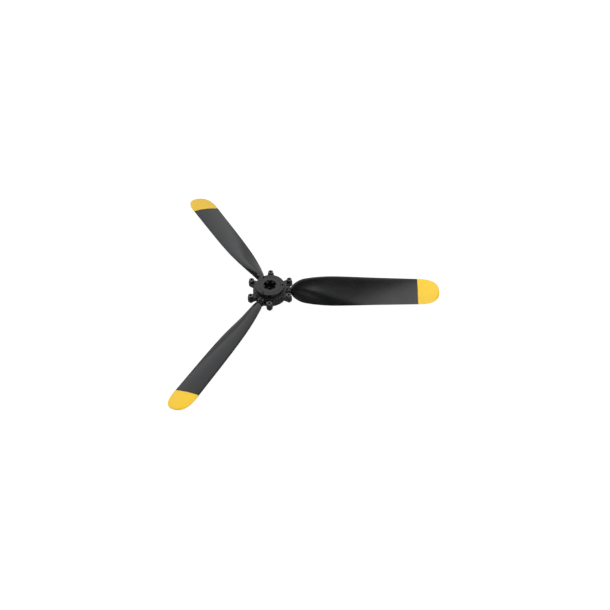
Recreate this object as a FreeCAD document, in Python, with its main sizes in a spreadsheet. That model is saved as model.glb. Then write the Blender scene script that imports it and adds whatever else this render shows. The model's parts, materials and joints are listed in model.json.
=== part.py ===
import FreeCAD, Part
import math
import os

import Sketcher

# A three-blade scale-model propeller, in millimetres.
#
# Each blade has a round shank with a retaining collar. A front and a rear hub half close on the three
# shanks and are drawn together by six cap screws, which run down into brass inserts in the rear lugs.
# A turned bush carries the shaft, and a ribbed sleeve in the front holds the shaft nut by its flats.
#
# +Z is the way the propeller pulls. The origin is the middle of the rear drive face. Every piece is
# drawn about the blade plane, the plane in which the hub splits, and is lifted to it by its placement.

Vector = FreeCAD.Vector
Z_DIRECTION = Vector(0, 0, 1)
FULL_TURN = 360.0

BLADE_ANGLES = (0, 120, 240)
SCREW_ANGLES = (30, 90, 150, 210, 270, 330)
RIB_ANGLES = (-15, -5, 5, 15)

# alias, size and what it is. Heights are measured from the blade plane.
DIMENSIONS = (
    ("blade_radius", 178.0, "hub axis to blade tip"),
    ("blade_plane", 12.0, "rear drive face to blade plane"),
    ("disc_radius", 15.2, "round front disc"),
    ("disc_face", 9.0, "front face of the disc"),
    ("rim_radius", 17.2, "hub barrel"),
    ("rim_height", 4.7, "step below the disc"),
    ("core_depth", 6.0, "back of the hub barrel"),
    ("drive_radius", 11.0, "rear boss with the drive face"),
    ("edge_break", 0.5, "chamfer on moulded edges"),
    ("lug_circle", 23.0, "hub axis to each screw"),
    ("lug_radius", 3.25, "screw lug"),
    ("lug_top", 2.6, "seat under a screw head"),
    ("lug_side", 2.2, "depth of the straight part of a rear lug"),
    ("lug_tip", 5.6, "depth of a rear lug's point"),
    ("lug_tip_radius", 0.8, "flat left on the point"),
    ("arm_start", 14.0, "radius where a lug's arm starts"),
    ("arm_half_width", 4.2, "half width of the arm at its start"),
    ("rib_circle", 17.2, "hub axis to each grip rib"),
    ("rib_radius", 0.9, "half-round grip rib"),
    ("rib_margin", 0.9, "rib end to the edge of the barrel"),
    ("boss_start", 14.8, "radius where a blade socket's boss starts"),
    ("boss_end", 20.2, "mouth of a blade socket"),
    ("boss_radius", 4.9, "outside of a blade socket"),
    ("shank_radius", 3.7, "blade shank"),
    ("shank_gap", 0.05, "running clearance of shank and collar"),
    ("collar_radius", 5.2, "retaining collar on the shank"),
    ("collar_start", 12.3, "inner face of the collar"),
    ("collar_end", 14.4, "outer face of the collar"),
    ("shank_end", 21.6, "where the shank becomes the blade"),
    ("sleeve_radius", 11.4, "nut sleeve"),
    ("sleeve_line", 0.3, "chamfer that draws the line round the sleeve"),
    ("well_radius", 6.9, "wall of the nut well"),
    ("nut_rib_circle", 6.5, "hub axis to each rib in the nut well"),
    ("nut_rib_radius", 1.3, "rib in the nut well"),
    ("nut_rib_drop", 1.2, "ribs below the disc face"),
    ("bush_flange_radius", 8.6, "shaft bush, seat for the nut"),
    ("bush_flange", 2.0, "thickness of the bush flange"),
    ("bush_radius", 5.5, "shaft bush, barrel"),
    ("shaft_radius", 3.05, "bore for a 6 mm shaft"),
    ("bush_chamfer", 0.4, "chamfer at the mouth under the nut"),
    ("dome_circle", 13.4, "hub axis to each dome screw hole"),
    ("dome_hole_radius", 1.25, "dome screw hole"),
    ("dome_hole_depth", 3.0, "dome screw hole"),
    ("head_radius", 2.75, "cap screw head"),
    ("head_height", 3.0, "cap screw head"),
    ("head_chamfer", 0.3, "cap screw head"),
    ("socket_flats", 2.5, "hexagon socket across flats"),
    ("socket_depth", 1.6, "hexagon socket"),
    ("screw_radius", 1.5, "cap screw thread, outside"),
    ("screw_length", 5.0, "cap screw below its head"),
    ("screw_point", 0.4, "chamfer on the screw's end"),
    ("screw_hole_radius", 1.65, "clearance hole in the front lug"),
    ("insert_radius", 2.1, "threaded insert"),
    ("insert_bore", 1.52, "threaded insert"),
    ("insert_length", 3.0, "threaded insert"),
    ("insert_groove", 0.25, "groove round the insert"),
    ("insert_hole_depth", 3.2, "hole for the insert and the screw's end"),
    ("rake", 0.0295, "drop of the blade to the rear per millimetre outwards"),
    ("tip_start", 156.0, "where the tip's curve starts"),
    ("tip_power", 2.65, "superellipse that rounds the tip"),
    ("airfoil_tail", 0.9, "fineness of the trailing edge, 0.5 for an ellipse"),
    ("airfoil_camber", 0.32, "camber as a share of the thickness"),
)

# Blade stations: radius, chord, blade angle in degrees from the blade plane, and thickness.
STATIONS = (
    (19.6, 6.6, 46.0, 6.6),
    (21.6, 7.0, 46.0, 7.0),
    (24.0, 13.0, 45.2, 7.2),
    (28.0, 19.2, 43.4, 6.9),
    (32.0, 23.4, 41.5, 6.3),
    (41.0, 27.6, 37.6, 5.2),
    (52.0, 30.4, 33.6, 4.3),
    (64.0, 32.0, 30.2, 3.7),
    (80.0, 32.2, 26.4, 3.2),
    (107.0, 31.4, 21.9, 2.7),
    (134.0, 30.7, 19.0, 2.3),
    (156.0, 30.1, 16.7, 2.0),
    (178.0, 29.4, 14.7, 1.6),
)
TIP_STEPS = (0.0, 0.25, 0.5, 0.7, 0.84, 0.93, 0.98, 0.996)
SHANK_ROUND = 0.5
AIRFOIL_FULL_RADIUS = 41.0
SECTION_POINTS = 15

doc = FreeCAD.newDocument("propeller")
sheet = doc.addObject("Spreadsheet::Sheet", "Dims")


def fill_sheet():
    """Write each driving dimension and each blade station into the sheet as a plain number."""
    rows = [(alias, number, note) for alias, number, note in DIMENSIONS]
    for index, station in enumerate(STATIONS):
        for part, number in zip(("radius", "chord", "angle", "thickness"), station):
            rows.append((f"station_{index}_{part}", number, "blade station"))
    for row, (alias, number, note) in enumerate(rows, start=1):
        sheet.set(f"A{row}", note)
        sheet.set(f"B{row}", str(number))
        sheet.setAlias(f"B{row}", alias)
    doc.recompute()


def dim(alias):
    """The number of one driving dimension."""
    return float(sheet.get(alias))


def worked(expression):
    """The number an expression on the sheet comes to."""
    return float(sheet.evalExpression(expression))


def plane(body, role):
    """One of a body's own origin planes or axes."""
    return next(feature for feature in body.Origin.OriginFeatures if feature.Role == role)


def new_body(label, x="0", y="0", z="Dims.blade_plane"):
    """An empty body, placed by expressions."""
    body = doc.addObject("PartDesign::Body", label)
    body.Label = label
    for axis, expression in (("x", x), ("y", y), ("z", z)):
        body.setExpression(f"Placement.Base.{axis}", expression)
    return body


def new_sketch(body, role, offset="0", turn=0.0):
    """A sketch on an origin plane, moved along the plane's normal and turned about it."""
    sketch = body.newObject("Sketcher::SketchObject", f"{body.Label}_sketch")
    sketch.AttachmentSupport = [(plane(body, role), "")]
    sketch.MapMode = "FlatFace"
    rotation = FreeCAD.Rotation(Z_DIRECTION, turn)
    sketch.AttachmentOffset = FreeCAD.Placement(Vector(0, 0, worked(offset)), rotation)
    sketch.setExpression("AttachmentOffset.Base.z", offset)
    return sketch


def bind(sketch, constraint, expression):
    """Add a dimension to a sketch and tie it to the sheet."""
    number = sketch.addConstraint(constraint)
    sketch.setExpression(f"Constraints[{number}]", expression)


def pin(sketch, edge, point, x, y):
    """Hold a sketch point at two distances from the sketch's origin."""
    for kind, expression, axis in (("DistanceX", x, -2), ("DistanceY", y, -1)):
        number = worked(expression)
        if abs(number) < 1e-9:
            sketch.addConstraint(Sketcher.Constraint("PointOnObject", edge, point, axis))
        elif number > 0:
            bind(sketch, Sketcher.Constraint(kind, -1, 1, edge, point, number), expression)
        else:
            bind(sketch, Sketcher.Constraint(kind, edge, point, -1, 1, -number), f"-({expression})")


def outline(sketch, corners):
    """A closed outline of straight lines through corners given as pairs of expressions."""
    points = [Vector(worked(x), worked(y), 0) for x, y in corners]
    lines = []
    for start, end in zip(points, points[1:] + points[:1]):
        lines.append(sketch.addGeometry(Part.LineSegment(start, end), False))
    for line, following in zip(lines, lines[1:] + lines[:1]):
        sketch.addConstraint(Sketcher.Constraint("Coincident", line, 2, following, 1))
    for line, (x, y) in zip(lines, corners):
        pin(sketch, line, 1, x, y)
    return sketch


def circle(sketch, x, y, radius):
    """A circle, its middle and radius given as expressions."""
    middle = Vector(worked(x), worked(y), 0)
    edge = sketch.addGeometry(Part.Circle(middle, Z_DIRECTION, worked(radius)), False)
    pin(sketch, edge, 3, x, y)
    bind(sketch, Sketcher.Constraint("Radius", edge, worked(radius)), radius)
    return sketch


def half_disc(sketch, radius, upper):
    """Half of a disc about the sketch's origin, above or below its horizontal axis."""
    size = worked(radius)
    start, end = (0.0, math.pi) if upper else (math.pi, 2 * math.pi)
    whole = Part.Circle(Vector(0, 0, 0), Z_DIRECTION, size)
    arc = sketch.addGeometry(Part.ArcOfCircle(whole, start, end), False)
    side = 1 if upper else -1
    flat = Part.LineSegment(Vector(-side * size, 0, 0), Vector(side * size, 0, 0))
    line = sketch.addGeometry(flat, False)
    sketch.addConstraint(Sketcher.Constraint("Coincident", arc, 3, -1, 1))
    sketch.addConstraint(Sketcher.Constraint("Coincident", arc, 2, line, 1))
    sketch.addConstraint(Sketcher.Constraint("Coincident", line, 2, arc, 1))
    sketch.addConstraint(Sketcher.Constraint("PointOnObject", arc, 1, -1))
    sketch.addConstraint(Sketcher.Constraint("PointOnObject", arc, 2, -1))
    bind(sketch, Sketcher.Constraint("Radius", arc, size), radius)
    return sketch


def turned(body, kind, sketch, axis):
    """A Revolution or a Groove of a whole turn about one of the sketch's axes."""
    feature = body.newObject(f"PartDesign::{kind}", f"{body.Label}_{kind.lower()}")
    feature.Profile = sketch
    feature.ReferenceAxis = (sketch, [axis])
    feature.Angle = FULL_TURN
    return feature


def swept(body, kind, sketch, length, reverse=False):
    """A Pad or a Pocket of a length given as an expression."""
    feature = body.newObject(f"PartDesign::{kind}", f"{body.Label}_{kind.lower()}")
    feature.Profile = sketch
    feature.setExpression("Length", length)
    feature.Reversed = reverse
    return feature


def round_the_axis(body, feature, count):
    """Repeat a feature evenly about the hub axis."""
    pattern = body.newObject("PartDesign::PolarPattern", f"{body.Label}_pattern")
    pattern.Originals = [feature]
    pattern.Axis = (plane(body, "Z_Axis"), [""])
    pattern.Angle = FULL_TURN
    pattern.Occurrences = count
    body.Tip = pattern
    return pattern


def add_lug_arm(body, front, thickness):
    """The arm from the hub barrel out to one screw lug, repeated for all six."""
    sketch = new_sketch(body, "XY_Plane", turn=SCREW_ANGLES[1])
    corners = (
        ("Dims.arm_start", "-Dims.arm_half_width"),
        ("Dims.lug_circle", "-Dims.lug_radius"),
        ("Dims.lug_circle", "Dims.lug_radius"),
        ("Dims.arm_start", "Dims.arm_half_width"),
    )
    arm = swept(body, "Pad", outline(sketch, corners), thickness, reverse=not front)
    round_the_axis(body, arm, len(SCREW_ANGLES))


def add_grip_ribs(body, front, length):
    """Half-round upright ribs on the barrel, in the three gaps that hold no blade."""
    sketch = new_sketch(body, "XY_Plane", turn=SCREW_ANGLES[0] + SCREW_ANGLES[0])
    for angle in RIB_ANGLES:
        x = f"Dims.rib_circle * cos({angle})"
        y = f"Dims.rib_circle * sin({angle})"
        circle(sketch, x, y, "Dims.rib_radius")
    ribs = swept(body, "Pad", sketch, length, reverse=not front)
    round_the_axis(body, ribs, len(BLADE_ANGLES))


def add_blade_sockets(body, front):
    """The half boss round each blade socket, and the socket with its collar pocket cut into it."""
    sketch = half_disc(new_sketch(body, "YZ_Plane", "Dims.boss_start"), "Dims.boss_radius", front)
    boss = swept(body, "Pad", sketch, "Dims.boss_end - Dims.boss_start")
    round_the_axis(body, boss, len(BLADE_ANGLES))
    corners = (
        ("Dims.collar_start - 2 * Dims.shank_gap", "0"),
        ("Dims.lug_circle", "0"),
        ("Dims.lug_circle", "Dims.shank_radius + Dims.shank_gap"),
        ("Dims.collar_end + 2 * Dims.shank_gap", "Dims.shank_radius + Dims.shank_gap"),
        ("Dims.collar_end + 2 * Dims.shank_gap", "Dims.collar_radius + Dims.shank_gap"),
        ("Dims.collar_start - 2 * Dims.shank_gap", "Dims.collar_radius + Dims.shank_gap"),
    )
    socket_sketch = outline(new_sketch(body, "XZ_Plane"), corners)
    socket = turned(body, "Groove", socket_sketch, "H_Axis")
    round_the_axis(body, socket, len(BLADE_ANGLES))


def hub_front():
    """Front hub half: stepped disc, six arms and lugs, three half sockets and the sleeve's seat."""
    body = new_body("hub_front")
    corners = (
        ("Dims.bush_flange_radius", "0"),
        ("Dims.rim_radius", "0"),
        ("Dims.rim_radius", "Dims.rim_height - Dims.edge_break"),
        ("Dims.rim_radius - Dims.edge_break", "Dims.rim_height"),
        ("Dims.disc_radius", "Dims.rim_height"),
        ("Dims.disc_radius", "Dims.disc_face - Dims.edge_break"),
        ("Dims.disc_radius - Dims.edge_break", "Dims.disc_face"),
        ("Dims.sleeve_radius + Dims.sleeve_line", "Dims.disc_face"),
        ("Dims.sleeve_radius", "Dims.disc_face - Dims.sleeve_line"),
        ("Dims.sleeve_radius", "Dims.bush_flange"),
        ("Dims.bush_flange_radius", "Dims.bush_flange"),
    )
    turned(body, "Revolution", outline(new_sketch(body, "XZ_Plane"), corners), "V_Axis")
    add_lug_arm(body, True, "Dims.lug_top")
    lug_sketch = new_sketch(body, "XY_Plane")
    circle(lug_sketch, "0", "Dims.lug_circle", "Dims.lug_radius")
    lug = swept(body, "Pad", lug_sketch, "Dims.lug_top")
    round_the_axis(body, lug, len(SCREW_ANGLES))
    add_grip_ribs(body, True, "Dims.rim_height - Dims.rib_margin")
    add_blade_sockets(body, True)
    screw_sketch = new_sketch(body, "XY_Plane")
    circle(screw_sketch, "0", "Dims.lug_circle", "Dims.screw_hole_radius")
    screw_hole = swept(body, "Pocket", screw_sketch, "Dims.disc_face", reverse=True)
    round_the_axis(body, screw_hole, len(SCREW_ANGLES))
    dome_sketch = new_sketch(body, "XY_Plane", "Dims.disc_face")
    circle(dome_sketch, "Dims.dome_circle", "0", "Dims.dome_hole_radius")
    dome_hole = swept(body, "Pocket", dome_sketch, "Dims.dome_hole_depth")
    round_the_axis(body, dome_hole, len(BLADE_ANGLES))
    return body


def hub_rear():
    """Rear hub half: barrel, drive boss, six arms, pointed lugs and three half sockets."""
    body = new_body("hub_rear")
    corners = (
        ("Dims.bush_radius", "0"),
        ("Dims.rim_radius", "0"),
        ("Dims.rim_radius", "Dims.edge_break - Dims.core_depth"),
        ("Dims.rim_radius - Dims.edge_break", "-Dims.core_depth"),
        ("Dims.drive_radius", "-Dims.core_depth"),
        ("Dims.drive_radius", "Dims.edge_break - Dims.blade_plane"),
        ("Dims.drive_radius - Dims.edge_break", "-Dims.blade_plane"),
        ("Dims.bush_radius", "-Dims.blade_plane"),
    )
    turned(body, "Revolution", outline(new_sketch(body, "XZ_Plane"), corners), "V_Axis")
    add_lug_arm(body, False, "Dims.lug_side")
    lug_corners = (
        ("0", "0"),
        ("Dims.lug_radius", "0"),
        ("Dims.lug_radius", "-Dims.lug_side"),
        ("Dims.lug_tip_radius", "-Dims.lug_tip"),
        ("0", "-Dims.lug_tip"),
    )
    lug_sketch = outline(new_sketch(body, "XZ_Plane", "-Dims.lug_circle"), lug_corners)
    lug = turned(body, "Revolution", lug_sketch, "V_Axis")
    round_the_axis(body, lug, len(SCREW_ANGLES))
    add_grip_ribs(body, False, "Dims.core_depth - Dims.rib_margin")
    add_blade_sockets(body, False)
    insert_sketch = new_sketch(body, "XY_Plane")
    circle(insert_sketch, "0", "Dims.lug_circle", "Dims.insert_radius")
    insert_hole = swept(body, "Pocket", insert_sketch, "Dims.insert_hole_depth")
    round_the_axis(body, insert_hole, len(SCREW_ANGLES))
    return body


def nut_sleeve():
    """Ring set into the front disc, with six round ribs that take the flats of the shaft nut."""
    body = new_body("nut_sleeve")
    corners = (
        ("Dims.well_radius", "Dims.bush_flange"),
        ("Dims.sleeve_radius", "Dims.bush_flange"),
        ("Dims.sleeve_radius", "Dims.disc_face - Dims.sleeve_line"),
        ("Dims.sleeve_radius - Dims.sleeve_line", "Dims.disc_face"),
        ("Dims.well_radius + Dims.edge_break", "Dims.disc_face"),
        ("Dims.well_radius", "Dims.disc_face - Dims.edge_break"),
    )
    turned(body, "Revolution", outline(new_sketch(body, "XZ_Plane"), corners), "V_Axis")
    sketch = new_sketch(body, "XY_Plane", "Dims.bush_flange")
    circle(sketch, "Dims.nut_rib_circle", "0", "Dims.nut_rib_radius")
    rib = swept(body, "Pad", sketch, "Dims.disc_face - Dims.bush_flange - Dims.nut_rib_drop")
    round_the_axis(body, rib, len(SCREW_ANGLES))
    return body


def shaft_bush():
    """Turned bush: a barrel through the rear half and a flange that the shaft nut bears on."""
    body = new_body("shaft_bush")
    corners = (
        ("Dims.shaft_radius", "-Dims.blade_plane"),
        ("Dims.bush_radius", "-Dims.blade_plane"),
        ("Dims.bush_radius", "0"),
        ("Dims.bush_flange_radius", "0"),
        ("Dims.bush_flange_radius", "Dims.bush_flange"),
        ("Dims.shaft_radius + Dims.bush_chamfer", "Dims.bush_flange"),
        ("Dims.shaft_radius", "Dims.bush_flange - Dims.bush_chamfer"),
    )
    turned(body, "Revolution", outline(new_sketch(body, "XZ_Plane"), corners), "V_Axis")
    return body


def at_screw(label, angle):
    """A body standing on the axis of the screw at an angle."""
    x = f"Dims.lug_circle * cos({angle})"
    y = f"Dims.lug_circle * sin({angle})"
    return new_body(label, x, y)


def clamp_screw(number, angle):
    """Cap screw with a hexagon socket, its head seated on the front lug."""
    body = at_screw(f"clamp_screw_{number}", angle)
    corners = (
        ("0", "Dims.lug_top - Dims.screw_length"),
        ("Dims.screw_radius - Dims.screw_point", "Dims.lug_top - Dims.screw_length"),
        ("Dims.screw_radius", "Dims.lug_top - Dims.screw_length + Dims.screw_point"),
        ("Dims.screw_radius", "Dims.lug_top"),
        ("Dims.head_radius", "Dims.lug_top"),
        ("Dims.head_radius", "Dims.lug_top + Dims.head_height - Dims.head_chamfer"),
        ("Dims.head_radius - Dims.head_chamfer", "Dims.lug_top + Dims.head_height"),
        ("0", "Dims.lug_top + Dims.head_height"),
    )
    turned(body, "Revolution", outline(new_sketch(body, "XZ_Plane"), corners), "V_Axis")
    sketch = new_sketch(body, "XY_Plane", "Dims.lug_top + Dims.head_height", turn=angle)
    corner_radius = "Dims.socket_flats / 2 / cos(30)"
    hexagon = [
        (f"{corner_radius} * cos({turn})", f"{corner_radius} * sin({turn})") for turn in SCREW_ANGLES
    ]
    swept(body, "Pocket", outline(sketch, hexagon), "Dims.socket_depth")
    return body


def thread_insert(number, angle):
    """Brass insert in the rear lug, with a groove round it that the moulding grips."""
    body = at_screw(f"thread_insert_{number}", angle)
    corners = (
        ("Dims.insert_bore", "-Dims.insert_length"),
        ("Dims.insert_radius", "-Dims.insert_length"),
        ("Dims.insert_radius", "-Dims.insert_length * 0.6"),
        ("Dims.insert_radius - Dims.insert_groove", "-Dims.insert_length * 0.6"),
        ("Dims.insert_radius - Dims.insert_groove", "-Dims.insert_length * 0.4"),
        ("Dims.insert_radius", "-Dims.insert_length * 0.4"),
        ("Dims.insert_radius", "0"),
        ("Dims.insert_bore", "0"),
    )
    turned(body, "Revolution", outline(new_sketch(body, "XZ_Plane"), corners), "V_Axis")
    return body


def between_stations(radius, column):
    """A blade quantity at a radius, in line between the stations on each side."""
    for inner, outer in zip(STATIONS, STATIONS[1:]):
        if radius <= outer[0]:
            share = (radius - inner[0]) / (outer[0] - inner[0])
            return inner[column] + share * (outer[column] - inner[column])
    return STATIONS[-1][column]


def blade_section(radius, chord, angle, thickness):
    """The closed outline of one blade section.

    The half thickness follows x ^ 0.5 * (1 - x) ^ tail, x running from the leading to the trailing
    edge: with a tail of 0.5 it is the shank's circle, and it grows to the airfoil's. The camber is a
    parabola. The chord's middle lies on the pitch axis, which drops to the rear by the rake.
    """
    share = (radius - dim("shank_end")) / (AIRFOIL_FULL_RADIUS - dim("shank_end"))
    share = min(max(share, 0.0), 1.0)
    tail = SHANK_ROUND + share * (dim("airfoil_tail") - SHANK_ROUND)
    crest = SHANK_ROUND / (SHANK_ROUND + tail)
    highest = crest**SHANK_ROUND * (1 - crest) ** tail
    camber = share * dim("airfoil_camber") * thickness
    turn = FreeCAD.Rotation(Vector(1, 0, 0), angle)
    middle = Vector(radius, 0, -dim("rake") * (radius - dim("shank_end")))
    front, rear = [], []
    for step in range(SECTION_POINTS):
        back = (1 - math.cos(math.pi * step / (SECTION_POINTS - 1))) / 2
        half = thickness / 2 * back**SHANK_ROUND * abs(1 - back) ** tail / highest
        line = camber * 4 * back * (1 - back)
        across = chord * (0.5 - back)
        front.append(middle + turn.multVec(Vector(0, across, line + half)))
        rear.append(middle + turn.multVec(Vector(0, across, line - half)))
    edges = []
    for points in (front, rear[::-1]):
        curve = Part.BSplineCurve()
        curve.interpolate(points)
        edges.append(curve.toShape())
    return Part.Wire(edges)


def blade(number, angle):
    """One blade: shank, retaining collar, and a loft through its stations out to a rounded tip."""
    wires = []
    for station in STATIONS:
        if station[0] < dim("tip_start"):
            wires.append(blade_section(*station))
    tip_length = dim("blade_radius") - dim("tip_start")
    for step in TIP_STEPS:
        radius = dim("tip_start") + step * tip_length
        narrowing = (1 - step ** dim("tip_power")) ** (1 / dim("tip_power"))
        chord = narrowing * between_stations(radius, 1)
        thickness = narrowing**0.5 * between_stations(radius, 3)
        wires.append(blade_section(radius, chord, between_stations(radius, 2), thickness))
    airfoil = Part.makeLoft(wires, True, False)
    along = Vector(1, 0, 0)
    shank_start = Vector(dim("collar_end"), 0, 0)
    shank_length = dim("shank_end") - dim("collar_end")
    shank = Part.makeCylinder(dim("shank_radius"), shank_length, shank_start, along)
    collar_start = Vector(dim("collar_start"), 0, 0)
    collar_length = dim("collar_end") - dim("collar_start")
    collar = Part.makeCylinder(dim("collar_radius"), collar_length, collar_start, along)
    feature = doc.addObject("Part::Feature", f"blade_{number}")
    feature.Label = f"blade_{number}"
    feature.Shape = airfoil.fuse([shank, collar]).removeSplitter()
    rotation = FreeCAD.Rotation(Z_DIRECTION, angle)
    feature.Placement = FreeCAD.Placement(Vector(0, 0, dim("blade_plane")), rotation)
    return feature


def build():
    """Make every piece, check each one and write it to its own file."""
    fill_sheet()
    pieces = [hub_front(), hub_rear(), nut_sleeve(), shaft_bush()]
    for number, angle in enumerate(SCREW_ANGLES, start=1):
        pieces.append(clamp_screw(number, angle))
        pieces.append(thread_insert(number, angle))
    for number, angle in enumerate(BLADE_ANGLES, start=1):
        pieces.append(blade(number, angle))
    doc.recompute()
    for item in doc.Objects:
        if "Invalid" in item.State or "Error" in item.State:
            raise RuntimeError(f"{item.Label} did not recompute: {item.State}")
    os.makedirs("parts", exist_ok=True)
    for piece in pieces:
        shape = piece.Shape
        if shape.isNull() or not shape.isValid() or len(shape.Solids) != 1:
            raise RuntimeError(f"{piece.Label} is not one valid solid")
        shape.exportStep(f"parts/{piece.Label}.step")
        print(f"{piece.Label}: {shape.Volume:.1f} cubic millimetres")


build()
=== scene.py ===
import json
import math

import bpy
import numpy as np
from mathutils import Matrix, Vector


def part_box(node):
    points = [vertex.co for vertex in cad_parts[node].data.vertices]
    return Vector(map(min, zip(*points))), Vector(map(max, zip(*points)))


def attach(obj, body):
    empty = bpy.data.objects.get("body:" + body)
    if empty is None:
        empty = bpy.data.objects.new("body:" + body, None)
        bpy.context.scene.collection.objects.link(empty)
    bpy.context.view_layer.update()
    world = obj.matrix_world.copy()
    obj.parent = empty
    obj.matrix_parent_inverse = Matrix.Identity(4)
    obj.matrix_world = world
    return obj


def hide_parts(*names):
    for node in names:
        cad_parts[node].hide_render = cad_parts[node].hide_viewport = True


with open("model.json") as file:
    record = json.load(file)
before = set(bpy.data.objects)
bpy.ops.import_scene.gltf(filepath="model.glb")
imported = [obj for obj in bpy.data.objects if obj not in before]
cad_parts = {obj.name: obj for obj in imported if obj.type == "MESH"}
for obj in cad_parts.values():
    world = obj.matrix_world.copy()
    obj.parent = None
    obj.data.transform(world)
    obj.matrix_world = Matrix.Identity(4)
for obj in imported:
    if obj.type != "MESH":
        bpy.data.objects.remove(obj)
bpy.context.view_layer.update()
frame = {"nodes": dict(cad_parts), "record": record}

# A three-blade model aircraft propeller: satin black moulded nylon blades with painted yellow tips,
# clamped in a two-part hub by six black screws. Metres. +Z is the way the propeller pulls.

MM = 0.001
BLADE_TURNS = {"blade_1": 0.0, "blade_2": 120.0, "blade_3": 240.0}
SCREW_TURNS = np.arange(30.0, 360.0, 60.0)

FIRST_JOINT = frame["record"]["behaviour"]["joints"][0]
BLADE_PLANE = FIRST_JOINT["pos_m"][2]
COLLAR_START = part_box("blade_1")[0][0]
BLADE_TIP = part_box("blade_1")[1][0]

# The blade's own design, as its maker would write it: radius and chord in millimetres, the angle
# from the blade plane in degrees, and the thickness in millimetres.
STATIONS = np.array(
    (
        (21.6, 7.0, 46.0, 7.0),
        (24.0, 13.0, 45.2, 7.2),
        (28.0, 19.2, 43.4, 6.9),
        (32.0, 23.4, 41.5, 6.3),
        (41.0, 27.6, 37.6, 5.2),
        (52.0, 30.4, 33.6, 4.3),
        (64.0, 32.0, 30.2, 3.7),
        (80.0, 32.2, 26.4, 3.2),
        (107.0, 31.4, 21.9, 2.7),
        (134.0, 30.7, 19.0, 2.3),
        (156.0, 30.1, 16.7, 2.0),
        (178.0, 29.4, 14.7, 1.6),
    )
)
SHANK_END = 21.6 * MM
SHANK_RADIUS = 3.7 * MM
COLLAR_RADIUS = 5.2 * MM
COLLAR_END = 14.4 * MM
COLLAR_BEVEL = 0.3 * MM
RAKE = 0.0295
TIP_START = 156.0 * MM
TIP_POWER = 2.65
ROUND_TAIL = 0.5
AIRFOIL_TAIL = 0.9
AIRFOIL_CAMBER = 0.32
AIRFOIL_FULL = 41.0 * MM
PAINT_START = 155.2 * MM
PAINT_THICKNESS = 0.06 * MM
BLADE_BLACK = (0.0032, 0.0060)
BLADE_ROUGHNESS = (0.17, 0.21)
YELLOW = ((0.93, 0.585, 0.010, 1), (0.97, 0.615, 0.018, 1))

# The hub's own design. Heights are measured from the blade plane.
DISC_RADIUS = 15.2 * MM
DISC_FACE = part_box("hub_front")[1][2] - BLADE_PLANE
BARREL_RADIUS = 17.2 * MM
RIM_HEIGHT = 4.7 * MM
CORE_DEPTH = 6.0 * MM
DRIVE_RADIUS = 11.0 * MM
SCREW_CIRCLE = 23.0 * MM
LUG_RADIUS = 3.25 * MM
LUG_TOP = 2.6 * MM
LUG_SIDE = 2.2 * MM
LUG_TIP = 5.6 * MM
ARM_START = 14.0 * MM
ARM_HALF_WIDTH = 4.2 * MM
RIB_RADIUS = 0.9 * MM
SLEEVE_RADIUS = 11.4 * MM
WELL_RADIUS = 6.9 * MM
RIB_DROP = 1.2 * MM
BUSH_FLANGE_RADIUS = 8.6 * MM
BUSH_FLANGE = 2.0 * MM
BUSH_RADIUS = 5.5 * MM
SHAFT_RADIUS = 3.05 * MM
HEAD_RADIUS = 2.75 * MM
HEAD_HEIGHT = 3.0 * MM
SOCKET_HALF_WIDTH = 1.25 * MM
SCREW_LENGTH = 5.0 * MM
SCREW_HOLE_RADIUS = 1.65 * MM
THREADS = 8
THREAD_PITCH = 0.5 * MM
THREAD_CREST = 1.5 * MM
THREAD_ROOT = 1.28 * MM
INSERT_RADIUS = 2.1 * MM
INSERT_HOLE_DEPTH = 3.2 * MM
DOME_CIRCLE = 13.4 * MM
DOME_HOLE_RADIUS = 1.25 * MM
DOME_HOLE_DEPTH = 3 * MM
NUT_RIB_CIRCLE = 6.5 * MM
NUT_RIB_RADIUS = 1.3 * MM
RIB_MARGIN = 0.9 * MM
SLEEVE_LINE = 0.3 * MM
BUSH_CHAMFER = 0.4 * MM
MOULDED_EDGE = 0.45 * MM
STEP_EDGE = 0.35 * MM
SPLIT_EDGE = 0.15 * MM
SEAT_ROOM = 0.02 * MM

# Each profile is the distance along a blade's axis, and the radius there.
SOCKET_PROFILE = np.array(((12.2, 5.25), (14.5, 5.25), (14.5, 3.75), (24.0, 3.75))) * MM
BOSS_PROFILE = np.array(((15.6, 4.9), (19.8, 4.9), (20.05, 4.78), (20.2, 4.5))) * MM

# How the pieces are made: the flat kept beside a rounded edge, how far a cutter runs past what it
# cuts, the distance within which cut points are one point, and the points round a hub ring.
FLAT_MARGIN = 0.22 * MM
OVERRUN = 1 * MM
WELD_DISTANCE = 0.001 * MM
SOLVER = "MANIFOLD"
AROUND = np.linspace(0.0, 2 * math.pi, 960, endpoint=False)
RIB_TURNS = [centre + offset for centre in (60, 180, 300) for offset in (-15, -5, 5, 15)]


def mesh_object(name, *solids):
    """A smooth-shaded mesh object at the origin. Each solid is its points and its faces."""
    points = np.concatenate([solid[0] for solid in solids])
    faces, start = [], 0
    for solid_points, solid_faces in solids:
        faces += [[corner + start for corner in face] for face in solid_faces]
        start += len(solid_points)
    mesh = bpy.data.meshes.new(name)
    mesh.from_pydata(points.tolist(), [], faces)
    mesh.update()
    mesh.shade_smooth()
    piece = bpy.data.objects.new(name, mesh)
    bpy.context.scene.collection.objects.link(piece)
    return piece


def tube_faces(rows, columns, closed_ends, wrapped):
    """Quads over a grid that closes round its columns, and a fan to one point at each closed end."""
    here = np.arange(columns)
    beside = (here + 1) % columns
    starts = (np.arange(rows - 1) * columns)[:, None]
    above = starts + columns
    if wrapped:
        above[-1] = 0
    quads = np.stack((starts + here, starts + beside, above + beside, above + here), -1)
    faces = quads.reshape(-1, 4).tolist()
    if closed_ends:
        first, last = rows * columns, rows * columns + 1
        edge = (rows - 1) * columns
        faces += np.stack((beside, here, np.full(columns, first)), -1).tolist()
        faces += np.stack((edge + here, edge + beside, np.full(columns, last)), -1).tolist()
    return faces


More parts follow.
